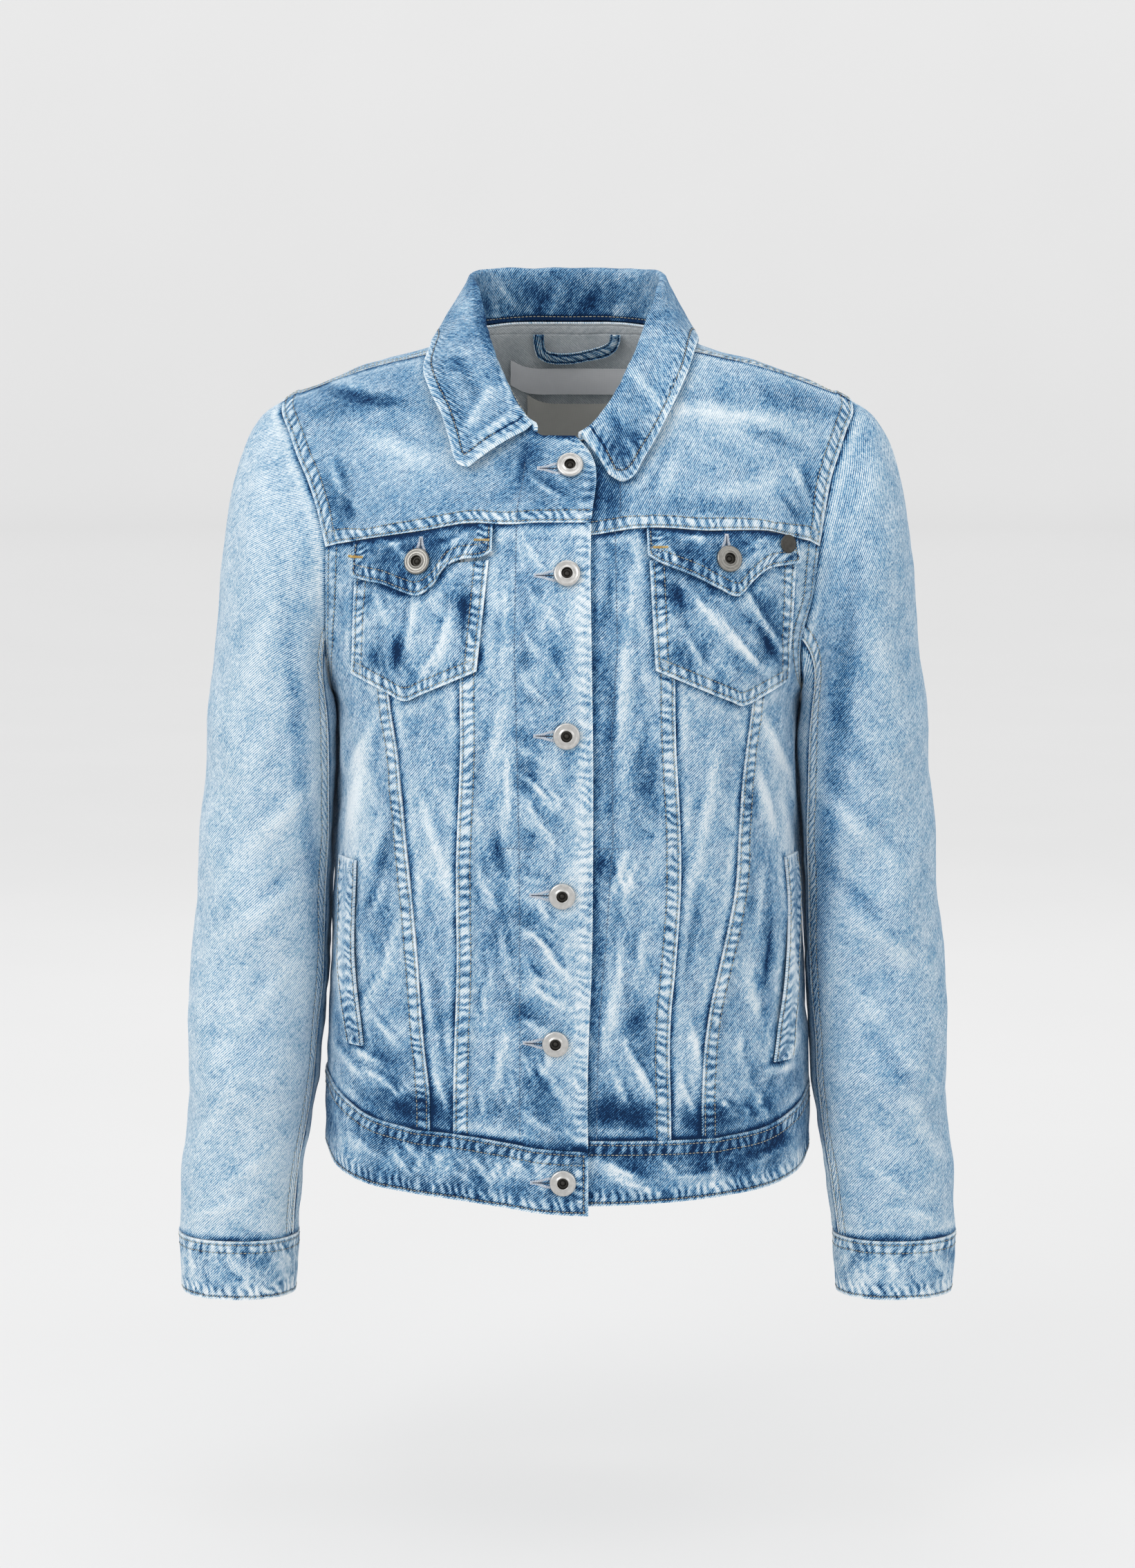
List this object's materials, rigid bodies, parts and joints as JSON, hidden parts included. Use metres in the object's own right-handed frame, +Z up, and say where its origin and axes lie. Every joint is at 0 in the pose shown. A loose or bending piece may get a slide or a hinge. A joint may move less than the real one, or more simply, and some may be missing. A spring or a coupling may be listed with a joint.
{
  "type": "denim jacket",
  "caption": "Short denim jacket, buttoned and filled out as worn: turned-down collar, yokes, V-seamed front, flap pockets, hand pocket welts, waistband and long cuffed sleeves.",
  "frame": {"origin": "middle of the neck opening, level with the shoulders beside the collar: the place at which the filled-out jacket is held", "axes": "+Z up, +X to the wearer's left, the buttoned front faces -Y"},
  "size_m": [0.5216, 0.2545, 0.6803],
  "materials": {
    "denim": "light stone-washed blue twill, matt, darker in the seams and paler on the edges",
    "nickel": "satin nickel tack buttons with a dark hollow centre",
    "dark_metal": "plain dark metal stud",
    "label_white": "plain woven label",
    "label_cream": "plain soft label"
  },
  "bodies": {
    "root": {"back_centre": "denim", "back_side_left": "denim", "back_side_right": "denim", "button_cuff_left": "nickel", "button_cuff_right": "nickel", "button_flap_left": "nickel", "button_flap_right": "nickel", "button_front_1": "nickel", "button_front_2": "nickel", "button_front_3": "nickel", "button_front_4": "nickel", "button_front_5": "nickel", "button_front_6": "nickel", "collar": "denim", "cuff_left": "denim", "cuff_right": "denim", "flap_left": "denim", "flap_right": "denim", "flap_stud": "dark_metal", "front_centre_left": "denim", "front_centre_right": "denim", "front_side_left": "denim", "front_side_right": "denim", "front_wedge_left": "denim", "front_wedge_right": "denim", "hanger_loop": "denim", "neck_label": "label_white", "pocket_left": "denim", "pocket_right": "denim", "size_label": "label_cream", "sleeve_fore_left": "denim", "sleeve_fore_right": "denim", "sleeve_top_left": "denim", "sleeve_top_right": "denim", "sleeve_under_left": "denim", "sleeve_under_right": "denim", "waistband": "denim", "welt_left": "denim", "welt_right": "denim", "yoke_back": "denim", "yoke_front_left": "denim", "yoke_front_right": "denim"}
  },
  "joints": []
}
